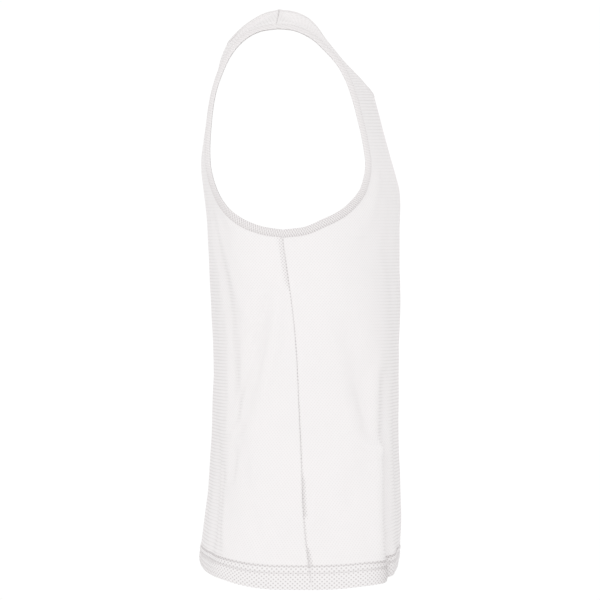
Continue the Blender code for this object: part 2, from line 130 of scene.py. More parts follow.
Face = namedtuple("Face", "name square drop_shares armhole neck chest_rows strap_rows band_turn band_fade")
FRONT = Face("front", "front_square", FRONT_DROP, FRONT_ARMHOLE, FRONT_NECK, 57, 48, 0.7, 60.0)
BACK = Face("back", "back_square", BACK_DROP, BACK_ARMHOLE, BACK_NECK, 69, 28, 0.54, 35.0)
print("armhole lines of", len(FRONT_ARMHOLE), "and", len(BACK_ARMHOLE), "points")

# %% [markdown]
# A smooth curve through a few known points is enough for all of this. Each point gets the slope
# between its neighbours, and a cubic runs from one point to the next.

# %% Smooth curves through known points
CURVE_STEPS = 240


def smooth_at(places, values, place):
    """The value at a place on the smooth curve through known values at rising places."""
    values = np.asarray(values, float)
    slope = np.gradient(values, np.asarray(places, float), axis=0)
    i = int(np.clip(np.searchsorted(places, place) - 1, 0, len(places) - 2))
    span = places[i + 1] - places[i]
    t = (place - places[i]) / span
    start = (1 + 2 * t) * (1 - t) ** 2 * values[i] + t * (1 - t) ** 2 * span * slope[i]
    end = t * t * (3 - 2 * t) * values[i + 1] + t * t * (t - 1) * span * slope[i + 1]
    return start + end


def lengths_along(points):
    """How far along a line each of its points lies."""
    steps = np.linalg.norm(np.diff(points, axis=0), axis=1)
    return np.concatenate([[0.0], np.cumsum(steps)])


def even_lengths(points):
    """The share of a line's length at which each of its points lies."""
    lengths = lengths_along(points)
    return lengths / lengths[-1]


def bell(distance, reach):
    """1 at no distance, falling smoothly to nearly 0 at twice the reach."""
    return np.exp(-((distance / reach) ** 2))


def unit(ways):
    """Ways of length one."""
    return ways / np.linalg.norm(ways, axis=1)[:, None]


def along(edge, share):
    """The point at a share of the way along a sewing line, as across, forward and height."""
    points = np.array(edge, float)
    return smooth_at(even_lengths(points), points, share)


def section_at(height):
    """The section at a height, with all of its columns worked out."""
    return Section(*smooth_at([s.height for s in SECTIONS], SECTIONS, height))


print("half width at the waist", round(section_at(-430).half_width, 1), "mm")

# %% [markdown]
# The cloth is laid row by row, from the hem up. A row starts at the centre line or the neck and
# ends at the side seam or the armhole. Its points are found by their angle on the flattened
# ellipse, and lie closer together beside the seam, where the thread draws the cloth in.

# %% One row of cloth
Row = namedtuple("Row", "inner outer half_width square drop drop_shares outward wall")
COLUMNS = 68
SEAM_COLUMNS = (7.0, 5.2, 3.6, 2.3, 1.1, 0.0)


def lean_of(across, half_width, square):
    """The angle on the flattened ellipse at a distance across."""
    return np.arcsin(min(1.0, across / half_width) ** (square / 2))


def end_leans(row):
    """The angles at a row's inner and outer end."""
    return [lean_of(end[0], row.half_width, row.square) for end in (row.inner, row.outer)]


def row_point(row, lean):
    """The points of a row at angles on its flattened ellipse, in millimetres."""
    power = 2 / row.square
    angles = (lean, *end_leans(row))
    depth, depth_in, depth_out = (np.cos(np.minimum(a, pi / 2)).clip(0) ** power for a in angles)
    share = (depth - depth_out) / (depth_in - depth_out)
    across = row.half_width * np.sin(lean.clip(0, pi / 2)) ** power
    forward = row.outer[1] + (row.inner[1] - row.outer[1]) * share
    height = row.outer[2] + (row.inner[2] - row.outer[2]) * share
    height = height - row.drop * np.interp(lean / (pi / 2), *row.drop_shares)
    return np.stack([across, -forward, height], axis=-1)


def row_leans(row):
    """The angles of a row's columns."""
    leans = np.linspace(*end_leans(row), CURVE_STEPS)
    line = row_point(row, leans)
    length = lengths_along(line)[-1]
    beside = 1 - np.array(SEAM_COLUMNS) / length
    even = np.linspace(0, beside[0], COLUMNS + 2 - len(beside))[:-1]
    return np.interp(np.concatenate([even, beside]), even_lengths(line), leans)


# %% [markdown]
# Four kinds of row make a panel: the hem, the body up to the underarm, the chest up to the
# bottom of the neck, and the strap up to the shoulder seam. The hem is the cloth turned up, so
# it is thicker, and the needle's two lines of stitches sink into it.

# %% The rows of a panel
BODY_ROWS = 68
HEM_ROWS = 25
UNDERARM = HEM_ROWS + BODY_ROWS
HEM_REACH = 1.2
CLOTH_WALL = 1.2
HEM_WALL = 2.5
NEEDLE_LINES = (0.7, 1.0)
# How much painted shade the hem's two needle lines get.
NEEDLE_LINE_SHADE = (0.6, 1.0)
NEEDLE_REACH = 0.02
NEEDLE_SPREAD = 0.055
NEEDLE_DEPTH = 0.9
NEEDLE_WIDTH = 1.3
NECK_STATION_SHARE = 1.5
NECK_ROW_FALL = 3.5
SHOULDER_SHARES = (0.989, 0.995, 1.0)
LEAVES_FROM, LEAVES_TO = 0.45, 0.78
HemRow = namedtuple("HemRow", "share outward wall")
HEM = [HemRow(*row) for row in (
    (0, 0, 1.8), (0.14, 0.5, HEM_WALL), (0.42, 0.6, HEM_WALL), (0.66, 0.3, HEM_WALL),
    (0.83, 0.6, HEM_WALL), (1, 0.3, 2.1), (HEM_REACH, 0, CLOTH_WALL),
)]


def row_between(face, section, inner, outer, drop=0.0, outward=0.0, wall=CLOTH_WALL):
    square = getattr(section, face.square)
    return Row(inner, outer, section.half_width, square, drop, face.drop_shares, outward, wall)


def body_row(face, height, outward=0.0, wall=CLOTH_WALL):
    section = section_at(height)
    inner = (0.0, getattr(section, face.name), height)
    outer = (section.half_width, section.seam, height)
    return row_between(face, section, inner, outer, section.drop, outward, wall)


def hem_rows(face):
    rows = []
    for share in np.linspace(0, HEM_REACH, HEM_ROWS):
        share, outward, wall = smooth_at([h.share for h in HEM], HEM, share)
        for line in NEEDLE_LINES:
            outward -= NEEDLE_DEPTH * bell((share - line) * (HEM_TOP - HEM_LOWEST), NEEDLE_WIDTH)
        height = HEM_LOWEST + share * (HEM_TOP - HEM_LOWEST)
        rows.append(body_row(face, height, outward, wall))
    return rows


def body_rows(face):
    low = HEM_LOWEST + HEM_REACH * (HEM_TOP - HEM_LOWEST)
    heights = np.linspace(low, face.armhole[0].height, BODY_ROWS + 2)[1:-1]
    return [body_row(face, height) for height in heights]


def upper_row(face, inner, outer):
    return row_between(face, section_at(min(inner[2], SECTIONS[-1].height)), tuple(inner), tuple(outer))


def edge_across(face, section, edge):
    """How far across the armhole edge lies: on the section itself close to the side seam."""
    centre, square = getattr(section, face.name), getattr(section, face.square)
    depth = (edge[1] - section.seam) / (centre - section.seam)
    if depth >= LEAVES_TO:
        return edge[0]
    on_section = section.half_width * (1 - max(depth, 0.0) ** square) ** (1 / square)
    share = (depth - LEAVES_FROM) / (LEAVES_TO - LEAVES_FROM)
    share = min(max(share, 0.0), 1.0)
    return on_section + (edge[0] - on_section) * share * share * (3 - 2 * share)


def chest_rows(face, neck_share):
    rows = []
    underarm, neck = face.armhole[0].height, face.neck[0].height
    top = along(face.armhole, neck_share)[2]
    for share in np.linspace(0, neck_share, face.chest_rows):
        outer = along(face.armhole, share)
        height = underarm + (outer[2] - underarm) / (top - underarm) * (neck - underarm)
        section = section_at(height)
        outer[0] = edge_across(face, section, outer)
        rows.append(upper_row(face, (0.0, getattr(section, face.name), height), outer))
    return rows


def strap_rows(face, neck_share):
    rows = []
    shares = [*np.linspace(0, 1, face.strap_rows + 1)[1:-1], *SHOULDER_SHARES]
    for share in shares:
        place = neck_share + (1 - neck_share) * share**NECK_STATION_SHARE
        rows.append(upper_row(face, along(face.neck, share), along(face.armhole, place)))
    return rows


def panel_rows(face):
    shares = np.linspace(0, 1, CURVE_STEPS)
    heights = [along(face.armhole, share)[2] for share in shares]
    neck_share = float(np.interp(face.neck[0].height - NECK_ROW_FALL, heights, shares))
    return [*hem_rows(face), *body_rows(face), *chest_rows(face, neck_share), *strap_rows(face, neck_share)]


print("front panel", len(panel_rows(FRONT)), "rows, back panel", len(panel_rows(BACK)))

# %% [markdown]
# Stretched cloth has no sharp bend from row to row round the neck. Each point moves a little
# towards the line between its neighbours above and below, again and again, but the panel's edges
# stay.

# %% Even out the bends round the neck
EASE_STEPS = 224
EASE_ROWS = 36
EASE_EDGE = 0.1
EASE_FADE = 0.3


def eased(face, lines):
    neck = UNDERARM + face.chest_rows - 1
    rows, columns = np.arange(len(lines))[:, None], np.arange(COLUMNS + 1)[None, :]
    from_end = np.minimum(columns, COLUMNS - columns) / COLUMNS - EASE_EDGE
    ease = np.clip(1 - (neck - rows) / EASE_ROWS, 0, 1) * np.clip(from_end / EASE_FADE, 0, 1)
    ease = ease[1:-1, :, None] / 2
    for _ in range(EASE_STEPS):
        below, middle, above = lines[:-2], lines[1:-1], lines[2:]
        low = np.linalg.norm(middle - below, axis=2)[..., None]
        high = np.linalg.norm(above - middle, axis=2)[..., None]
        straight = (below * high + above * low) / (low + high)
        lines[1:-1] = middle + (straight - middle) * ease
    return lines


# %% [markdown]
# Worn cloth is never smooth. The large folds are those of the solids: each runs down from one
# height to another, so far from the side seam, measured round the cloth. Bow is how far its
# middle lies from the straight line, and a trough has a depth below zero. The creases are
# narrower, and only the fine cloth shows them.

# %% Folds and creases
Fold = namedtuple("Fold", "top low top_out low_out bow width depth")
RIGHT, LEFT, BOTH = (-1,), (1,), (-1, 1)
FOLDS = {
    ("back", RIGHT): (
        (-318, -525, 28, 94, -12, 13, -5), (-325, -475, 12, 64, -6, 12, 3.5),
        (-380, -505, 84, 90, 4, 10, -4.5), (-225, -400, 84, 98, 0, 16, -2.5),
        (-555, -640, 40, 34, 0, 11, -2),
    ),
    ("back", LEFT): (
        (-300, -505, 30, 86, -9, 14, -4.5), (-400, -565, 76, 98, 5, 12, -3.5),
    ),
    ("back", BOTH): (
        (-190, -420, 195, 170, 10, 20, -3), (-430, -652, 222, 230, 6, 20, 2.5),
        (-480, -652, 165, 158, 0, 18, -3.5),
    ),
    ("front", RIGHT): (
        (-415, -525, 62, 92, 8, 16, -3.5), (-535, -600, 62, 58, 0, 12, -2.5),
        (-440, -660, 98, 92, 0, 14, 3), (-278, -325, 14, 34, 0, 12, -1.5),
    ),
    ("front", LEFT): (
        (-400, -540, 58, 84, 7, 15, -3.5), (-450, -660, 100, 95, 0, 14, 3),
    ),
    ("front", BOTH): (
        (-215, -430, 170, 195, -10, 20, -2.5), (-440, -652, 182, 176, 5, 18, -4),
        (-400, -652, 232, 236, 5, 20, 2),
    ),
}
CREASES = {
    ("back", RIGHT): (
        (-225, -385, 118, 88, 0, 12, -3.5), (-230, -375, 100, 58, 0, 8, 1.8),
        (-365, -500, 96, 104, 0, 6, -2.5), (-530, -650, 124, 120, 0, 7, -4),
        (-335, -465, 14, 46, 0, 9, 3.5), (-330, -505, 27, 108, -4, 7, -3.2), (-515, -560, 88, 96, 0, 8, -4),
        (-560, -656, 116, 112, 2, 12, 2.5), (-500, -656, 152, 146, 0, 16, -5),
        (-505, -575, 74, 66, 2, 8, -2), (-590, -650, 62, 50, 1, 9, -2.2),
    ),
    ("back", LEFT): (
        (-320, -470, 20, 58, -6, 8, 2.5), (-330, -500, 34, 96, -9, 8, -3), (-240, -380, 112, 86, 0, 12, -3),
        (-505, -585, 60, 52, 2, 6, -1.2),
    ),
    ("front", RIGHT): (
        (-360, -514, 64, 98, 0, 18, -6.5), (-395, -516, 96, 104, 0, 13, -4),
        (-500, -530, 60, 112, 0, 24, 3), (-622, -704, 124, 118, 0, 9, -6.5),
        (-518, -575, 60, 66, 0, 14, 1.5), (-420, -656, 108, 90, 0, 10, 5),
        (-420, -656, 134, 118, 0, 15, -8), (-180, -265, 150, 100, 0, 14, 2), (-308, -338, 4, 38, 0, 14, -2),
        (-560, -640, 30, 24, 1, 8, -1.8),
    ),
    ("front", LEFT): (
        (-350, -505, 90, 80, 3, 18, -3.5), (-440, -656, 112, 104, 0, 10, 2.5),
        (-190, -270, 146, 104, 0, 14, 1.8), (-540, -625, 40, 46, 2, 7, -1.2),
    ),
}
SEAM_CALM = 14.0


def folds_of(face, side):
    """The folds and creases of half a panel."""
    tables = [*FOLDS.items(), *CREASES.items()]
    chosen = [rows for (name, sides), rows in tables if name == face.name and side in sides]
    return [Fold(*row) for rows in chosen for row in rows]


def fold_height(face, side, out, height):
    """How far the folds lift a row of cloth, at distances from the side seam's line."""
    total = np.zeros(len(out))
    for fold in folds_of(face, side):
        share = np.clip((fold.top - height) / (fold.top - fold.low), 0, 1)
        line = fold.top_out + (fold.low_out - fold.top_out) * share + fold.bow * np.sin(pi * share)
        total += fold.depth * np.sin(pi * share) ** 0.5 * bell(out - line, fold.width)
    return total


print(sum(map(len, FOLDS.values())), "folds and", sum(map(len, CREASES.values())), "creases")

# %% [markdown]
# Half a panel is now an array of points, row by row. With them go the way that the cloth faces,
# its thickness, and its place on the flat cut: how far round from the centre line, and how far up
# from the hem. The flat place becomes the UV map, so the knit runs along the cloth. Each point
# also says what lies behind it, a seam's allowance or the hem's second layer, and the material
# paints the holes darker there, as painted shade seen through them. The hem's needle lines and
# its front corner get painted shade in the same way.

# %% Half a panel
LEAN_STEP = 0.004
SEAM_GAP = 0.3
SEAM_SINK = 0.8
SEAM_REACH = 2.2
SHOULDER_RISE = 0.7
SHOULDER_FADE = 12.0
RIPPLE = 0.3
RIPPLE_ACROSS, RIPPLE_UP, RIPPLE_SLANT = 6.7, 15.0, 43.0
DRIFT, DRIFT_UP = 9.0, 31.0
LINE_CORE, LINE_REACH = 1.3, 0.9
STRIP_FADE = 0.5
STRIP_DARKER = 0.4
HEM_ENDS, HEM_FADE = 1.02, 0.05
BESIDE_FROM, BESIDE_RISE, BESIDE_MOST = 50, 110, 0.6
LEAST_RISE, MOST_STRETCH = 0.1, 2.0
CORNER_OUT = 110.0
CORNER_REACH = 18.0
# Painted shade where the hem's front corner turns away.
CORNER_SHADE = 0.62
KNIT_TILT = {
    "front": ((-80, 0), (-50, 8), (-30, 2), (-18, -12), (-8, -35), (0, -70)),
    "back": ((-75, 0), (-62, 15), (-44, 30), (-26, 42), (-12, 50), (0, 55)),
}
Allowance = namedtuple("Allowance", "height back front sewn")
SEAM_ALLOWANCE = [Allowance(*row) for row in (
    (-690, 0.4, 0.6, 0.1), (-664, 0.4, 0.8, 0.15), (-660, 0.4, 6, 0.5), (-640, 0.4, 4.6, 0.5),
    (-633, 0.4, 0.8, 0.4), (-606, 0.4, 0.9, 0.4), (-600, 0.4, 5, 0.5), (-556, 0.4, 4.6, 0.5),
    (-545, 0.4, 0.9, 0.45), (-332, 0.8, 0.4, 0.4), (-318, 5.2, 0.4, 0.3), (-265, 7, 0.4, 0.3),
)]


def row_normals(rows, number, leans):
    """Which way the cloth faces along a row, from its neighbours at the same angles."""
    below, above = rows[max(number - 1, 0)], rows[min(number + 1, len(rows) - 1)]
    up = row_point(above, leans) - row_point(below, leans)
    out = row_point(rows[number], leans + LEAN_STEP) - row_point(rows[number], leans - LEAN_STEP)
    return unit(np.cross(out, up))


def ripple(out, height, side):
    """The small unevenness of worn knit, a wave of about 40 mm by 90 mm."""
    across = (out + DRIFT * np.sin(height / DRIFT_UP + side)) / RIPPLE_ACROSS
    return RIPPLE * np.sin(across) * np.sin(height / RIPPLE_UP + out / RIPPLE_SLANT + 2 * side)


def near_line(distance):
    """1 on a sewn line, and 0 from about a millimetre away."""
    return np.clip(LINE_CORE - distance / LINE_REACH, 0, 1)


def layers_and_painted_shade(face, number, seam, from_side, from_shoulder):
    """How much lies behind the cloth, which the material paints as shade in the holes: 0 nothing, 1 a second
    layer, up to 2 along a sewn line. The hem's needle lines and front corner get more, as painted shade.
    """
    sewn = np.maximum(seam.sewn * near_line(from_side), near_line(from_shoulder))
    strip = np.clip(getattr(seam, face.name) - from_side + STRIP_FADE, 0, 1)
    layers = strip * (1 + STRIP_DARKER * seam.sewn) + sewn
    if number < HEM_ROWS:
        share = number / (HEM_ROWS - 1) * HEM_REACH
        layers = np.maximum(layers, np.clip((HEM_ENDS - share) / HEM_FADE, 0, 1))
        beside = np.clip((from_side - BESIDE_FROM) / BESIDE_RISE, 0, BESIDE_MOST)
        # The needle lines get painted shade for the step of the folded hem, which spreads beside them away
        # from the side seam.
        for line, strength in zip(NEEDLE_LINES, NEEDLE_LINE_SHADE):
            if abs(share - line) < NEEDLE_REACH:
                layers = np.maximum(layers, 1 + strength)
            elif abs(share - line) < NEEDLE_SPREAD:
                layers = np.maximum(layers, 1 + strength * beside)
        # Painted shade where the hem's front corner turns away.
        if face is FRONT:
            layers = layers + CORNER_SHADE * bell(from_side - CORNER_OUT, CORNER_REACH)
    return layers.clip(0, 2)


def allowance_at(height):
    """The seam's allowance at a height, worked out between the rows beside it."""
    heights = [row.height for row in SEAM_ALLOWANCE]
    return Allowance(*(np.interp(height, heights, column) for column in zip(*SEAM_ALLOWANCE)))


def knit_heights(face, rows, lines):
    """How far up the flat cut each point lies. The knit's rows are level, but tilt on the straps."""
    heights = []
    for number, (row, line) in enumerate(zip(rows, lines)):
        middle = line[COLUMNS // 2]
        if number < UNDERARM:
            heights.append(np.full(COLUMNS + 1, row.inner[2]))
        elif number <= UNDERARM + face.chest_rows:
            heights.append(line[:, 2].copy())
            place, before = middle[2], middle
        else:
            tilt = radians(np.interp(middle[2], *zip(*KNIT_TILT[face.name])))
            square = np.array([0.0, -np.sin(tilt), np.cos(tilt)])
            step = (middle - before) * (0.0, 1.0, 1.0)
            length = np.linalg.norm(step)
            stretch = min(length / max(step @ square, LEAST_RISE), MOST_STRETCH)
            place += length
            heights.append(place + (line - middle) @ square * stretch)
            before = middle
    return np.array(heights) - HEM_LOWEST


def lift(face, side, out, ends, start, height):
    """How far folds and ripples lift a row. They die away at seam, armhole and neck."""
    calm = 1 - bell(ends, SEAM_CALM)
    if start > 0:
        calm = calm * (1 - bell(ends[0] - ends, SEAM_CALM))
    return (fold_height(face, side, out, height) + ripple(out, height, side)) * calm


def sink(seam, ends, from_side, from_shoulder):
    """How deep the side seam draws a row in. The shoulder seam stands up instead."""
    drawn = SEAM_SINK * seam.sewn * bell(from_side, SEAM_REACH)
    return drawn - SHOULDER_RISE * bell(from_shoulder, SEAM_REACH) * np.clip(ends / SHOULDER_FADE, 0, 1)


def half_panel(face, side):
    """Points, facing, flat place and layers of half a panel, and the wall of each row."""
    rows = panel_rows(face)
    leans = [row_leans(row) for row in rows]
    lines = eased(face, np.array([row_point(row, lean) for row, lean in zip(rows, leans)]))
    last, knit = lines[-1].copy(), knit_heights(face, rows, lines)
    points, normals, flat, layers, reach = [], [], [], [], 0.0
    for number, row in enumerate(rows):
        line, facing = lines[number], row_normals(rows, number, leans[number])
        facing = facing if face is FRONT else -facing
        length = lengths_along(line)[-1]
        ends, start = length * (1 - even_lengths(line)), row.inner[0]
        reach = length if number <= UNDERARM else reach
        out = reach - start - length + ends
        from_side = ends if number <= UNDERARM else np.full(COLUMNS + 1, length)
        from_shoulder = np.linalg.norm(line - last, axis=1)
        seam = allowance_at(line[-1, 2])
        outward = lift(face, side, out, ends, start, line[:, 2]) + row.outward
        outward = outward - sink(seam, ends, from_side, from_shoulder)
        layers.append(layers_and_painted_shade(face, number, seam, from_side, from_shoulder))
        points.append(line + facing * outward[:, None])
        normals.append(facing)
        flat.append(np.stack([start + length - ends, knit[number]], axis=-1))
    points, normals, flat, layers = (np.array(values) for values in (points, normals, flat, layers))
    back = SEAM_GAP / 2 if face is BACK else -SEAM_GAP / 2
    points[:UNDERARM + 1, -1, 1] += back
    points[-1, :, 1] += back
    for values in (points, normals, flat):
        values[..., 0] *= side
    return points, normals, flat, layers, [row.wall for row in rows]


halves = {(face.name, side): half_panel(face, side) for face in (FRONT, BACK) for side in BOTH}
for face in (FRONT, BACK):
    # Up to the neck, both halves take the same centre line, so that they can merge there.
    split = UNDERARM + face.chest_rows
    for k in range(3):
        halves[face.name, 1][k][:split, 0] = halves[face.name, -1][k][:split, 0]
print("rows by columns", halves["front", 1][0].shape[:2])

# %% [markdown]
# A grid is the natural start for a sheet of cloth: it is added flat, and its points are then laid
# on the form in the same order. Two half grids are joined along the centre line, and merging the
# doubled points sews them below the neck only. Solidify gives the cloth its wall, thicker at the
# hem through a vertex group.

# %% Lay a grid of cloth
from mathutils import Vector

BIB_MIDDLE = Vector((0.0, -0.03, -0.35))
MERGE_REACH = 0.01
CLOTH_SMOOTH_BELOW = 50
WALL_GROUP = "wall"
HEM_SEWN_ROW = round(HEM_ROWS / HEM_REACH) + 1
FLAT_SHIFT = np.array([0.35, 0.0])
# How much painted shade the furrows get, by height: most low on the bib.
FURROW_SHADE_BY_HEIGHT = ((-690, 1.4), (-440, 1.2), (-310, 0.9), (-250, 0.4), (-170, 0.4), (-110, 1.0), (10, 1.0))


def lay_grid(name, points, flat, layers=None, walls=()):
    """A grid of rows by columns, laid on the form point by point, its flat place as UV map."""
    deselect()
    rows, columns = points.shape[:2]
    bpy.ops.mesh.primitive_grid_add(x_subdivisions=columns - 1, y_subdivisions=rows - 1, size=2)
    cloth = bpy.context.object
    cloth.name = name
    mesh = cloth.data
    mesh.vertices.foreach_set("co", (points * MM).ravel())
    corners = np.empty(len(mesh.loops), np.int32)
    mesh.loops.foreach_get("vertex_index", corners)
    mesh.uv_layers[0].name = "flat_cut"
    mesh.uv_layers[0].data.foreach_set("uv", (flat.reshape(-1, 2) * MM + FLAT_SHIFT)[corners].ravel())
    row = np.arange(rows * columns) // columns
    if layers is not None:
        furrow_shade_by_height = np.interp(points[..., 2], *zip(*FURROW_SHADE_BY_HEIGHT))
        for kind, values in (("layers", layers), ("hem", row < HEM_SEWN_ROW), ("rows", furrow_shade_by_height)):
            values = values.astype(np.float32).ravel()
            mesh.attributes.new(kind, "FLOAT", "POINT").data.foreach_set("value", values)
    group = cloth.vertex_groups.new(name=WALL_GROUP)
    for number, wall in enumerate(walls):
        group.add(np.nonzero(row == number)[0].tolist(), float(wall / max(walls)), "REPLACE")
    mesh.update()
    return cloth


def edit_all(operator, **settings):
    """Runs an operator on all of the active piece, in edit mode."""
    bpy.ops.object.mode_set(mode="EDIT")
    bpy.ops.mesh.select_all(action="SELECT")
    operator(**settings)
    bpy.ops.object.mode_set(mode="OBJECT")


def face_out(cloth):
    """Turns the faces so that they point away from the bib's middle."""
    out = sum(p.normal.dot(p.center - BIB_MIDDLE) * p.area for p in cloth.data.polygons)
    if out < 0:
        edit_all(bpy.ops.mesh.flip_normals)


def join_merged(pieces, name):
    """One object of several pieces, with the points that lie on each other merged."""
    deselect()
    for piece in pieces:
        piece.select_set(True)
    bpy.context.view_layer.objects.active = pieces[0]
    if len(pieces) > 1:
        bpy.ops.object.join()
    edit_all(bpy.ops.mesh.remove_doubles, threshold=MERGE_REACH * MM)
    pieces[0].name = pieces[0].data.name = name
    return pieces[0]


def thicken(cloth, wall):
    """Gives the cloth its wall, half to each side, and shades it smooth."""
    solidify = cloth.modifiers.new("cloth_wall", "SOLIDIFY")
    solidify.thickness = wall * MM
    solidify.offset = 0.0
    solidify.vertex_group = WALL_GROUP
    solidify.thickness_vertex_group = 0.0
    bpy.ops.object.modifier_apply(modifier="cloth_wall")
    bpy.ops.object.shade_smooth_by_angle(angle=radians(CLOTH_SMOOTH_BELOW))


# %% Lay the two panels


def add_panel(face):
    pieces = []
    for side in BOTH:
        points, normals, flat, layers, walls = halves[face.name, side]
        piece = lay_grid(f"half_{side}", points, flat, layers, walls)
        face_out(piece)
        pieces.append(piece)
    panel = join_merged(pieces, f"{face.name}_mesh_cloth")
    thicken(panel, HEM_WALL)
    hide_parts(f"{face.name}_panel")
    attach(panel, "root")
    print(panel.name, len(panel.data.polygons), "faces")
    return panel


front_cloth = add_panel(FRONT)
back_cloth = add_panel(BACK)

# %% [markdown]
# A binding is a strip of the same mesh, folded round the raw edge and sewn through with one
# line of stitches near its inner edge. Its cross-section is a flat loop about 9 mm wide, with a
# rounded fold on the side of the arm or neck and a slight dip where the needle draws it down.
# It reaches a little over the panel's edge. The right one is the widest and the left one the
# narrowest, so that from the right side nothing of the left one shows through the armhole.
# The loop is laid as a grid too, one row of points for each station along the edge.

# %% Lay the bindings
BINDING_WIDTH = 9.0
BINDING_WIDTHS = {"right_armhole": 9.5, "left_armhole": 8.2, "neck": BINDING_WIDTH}
BINDING_WALL = 2.4
BINDING_COVERS = 0.4
BINDING_EVENS_OUT = 0.12
NECK_CURL, ARMHOLE_CURL = 2.0, 0.8
BAND_SMOOTH_BELOW = 60
Corner = namedtuple("Corner", "outward raised")
BINDING_SHAPE = [Corner(*row) for row in (
    (0, 0), (0, 0.62), (0.05, 0.92), (0.12, 0.8), (0.17, 0.72), (0.23, 0.84), (0.32, 1), (0.5, 1),
    (0.7, 0.98), (0.85, 0.88), (0.95, 0.6), (1, 0), (0.95, -0.6), (0.85, -0.88), (0.5, -1),
    (0.17, -0.8), (0.05, -0.92), (0, -0.62), (0, 0),
)]
Band = namedtuple("Band", "piece points normals outs length width")


def turned_edge(face, side):
    """A panel's armhole edge. Its direction turns in round the arm, but not at the shoulder."""
    points, normals = (halves[face.name, side][k][UNDERARM:, -1] for k in (0, 1))
    away = np.linalg.norm(points - points[-1], axis=1)
    turn = np.clip(face.band_turn - abs(normals[:, 0]), 0, 1) * (1 - bell(away, face.band_fade))
    return points, normals + np.array([side, 0.0, 0.0]) * turn[:, None]


def joined_line(front, back):
    """Up the front edge and down the back edge, with one point in common at the shoulder."""
    points = np.concatenate([front[0][:-1], [(front[0][-1] + back[0][-1]) / 2], back[0][-2::-1]])
    normals = np.concatenate([front[1][:-1], [front[1][-1] + back[1][-1]], back[1][-2::-1]])
    return points, normals


def armhole_line(side):
    points, normals = joined_line(turned_edge(FRONT, side), turned_edge(BACK, side))
    points[0] = (points[0] + points[-1]) / 2
    normals[0] = normals[0] + normals[-1]
    return points[:-1], normals[:-1]


def neck_edge(face, side):
    """The points and normals of a panel's neck edge, from the centre to the shoulder."""
    return [halves[face.name, side][k][UNDERARM - 1 + face.chest_rows:, 0] for k in (0, 1)]


def neck_line():
    ways = [joined_line(neck_edge(FRONT, side), neck_edge(BACK, side)) for side in BOTH]
    return tuple(np.concatenate([ways[0][k], ways[1][k][-2:0:-1]]) for k in range(2))


def add_binding(name, width, line, middle, curl):
    """Lays the loop round its line, each ring square to it and reaching towards the middle."""
    points, normals = line
    normals = unit(normals)
    normals = normals + (np.roll(normals, 1, axis=0) + np.roll(normals, -1, axis=0)) * BINDING_EVENS_OUT
    runs = unit(np.roll(points, -1, axis=0) - np.roll(points, 1, axis=0))
    normals = unit(normals - runs * (normals * runs).sum(axis=1)[:, None])
    outs = np.cross(runs, normals)
    outs = outs * np.sign((outs * (middle - points)).sum(axis=1))[:, None]
    shape = np.array(BINDING_SHAPE)
    reach = shape[:, 0] * (width + BINDING_COVERS) - BINDING_COVERS
    raised = shape[:, 1] * BINDING_WALL / 2 - curl * shape[:, 0] ** 2
    rings = points[:, None] + outs[:, None] * reach[:, None] + normals[:, None] * raised[:, None]
    rings = np.concatenate([rings, rings[:1]])
    lengths = lengths_along(rings[:, 0])
    round_it = even_lengths(np.stack([reach, raised], axis=-1)) * 2 * BINDING_WIDTH
    flat = np.stack(np.broadcast_arrays(round_it[None, :], lengths[:, None]), axis=-1)
    piece = lay_grid(name, rings, flat)
    join_merged([piece], name)
    edit_all(bpy.ops.mesh.normals_make_consistent, inside=False)
    bpy.ops.object.shade_smooth_by_angle(angle=radians(BAND_SMOOTH_BELOW))
    print(name, "is", round(lengths[-1]), "mm long")
    return Band(piece, points, normals, outs, float(lengths[-1]), width)


# Each binding has its line, the middle of its opening, and how far its rim curls in.
openings = {
    "right_armhole": (armhole_line(-1), (-150, 0, -130), ARMHOLE_CURL),
    "left_armhole": (armhole_line(1), (150, 0, -130), ARMHOLE_CURL),
    "neck": (neck_line(), (0, -30, 0), NECK_CURL),
}
bindings = {}
for name, (line, middle, curl) in openings.items():
    bindings[name] = add_binding(f"{name}_band", BINDING_WIDTHS[name], line, middle, curl)
for name, band in bindings.items():
    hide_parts(f"{name}_binding")
    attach(band.piece, "root")

# %% [markdown]
# The mesh is polyester, knitted with small holes in staggered rows. Polyester knit is matt and
# slightly fuzzy, with hardly any gloss, so the roughness is high and a little sheen stays on
# grazing edges. The colours are hex values read as sRGB, which one function turns to linear.
# One more function adds a node, and gives the output that the next node needs.

# %% Tools for materials
SPECULAR = 0.2


def linear(code):
    """The linear colour of an sRGB hex value such as F1EFEF."""
    values = [int(code[i:i + 2], 16) / 255 for i in (0, 2, 4)]
    values = [v / 12.92 if v <= 0.04045 else ((v + 0.055) / 1.055) ** 2.4 for v in values]
    return (*values, 1.0)


def add(tree, kind, inputs, output=0, **settings):
    """An output of a new node, whose inputs are given as values or as other nodes' outputs."""
    node = tree.nodes.new(f"ShaderNode{kind}")
    for name, value in settings.items():
        setattr(node, name, value)
    for key, value in inputs.items():
        if isinstance(value, bpy.types.NodeSocket):
            tree.links.new(value, node.inputs[key])
        else:
            node.inputs[key].default_value = value
    return node.outputs[output]


def new_material(name, sheen, roughness):
    material = bpy.data.materials.new(name)
    material.use_nodes = True
    shader = material.node_tree.nodes["Principled BSDF"]
    shader.inputs["Roughness"].default_value = roughness
    shader.inputs["Sheen Weight"].default_value = sheen
    shader.inputs["Specular IOR Level"].default_value = SPECULAR
    return material, material.node_tree, shader


def wave_along(tree, place, spacing):
    """A wave along a place in metres, with one crest in every spacing in millimetres."""
    turns = add(tree, "Math", {0: place, 1: 2 * pi / (spacing * MM)}, operation="MULTIPLY")
    return add(tree, "Math", {0: turns}, operation="COSINE")
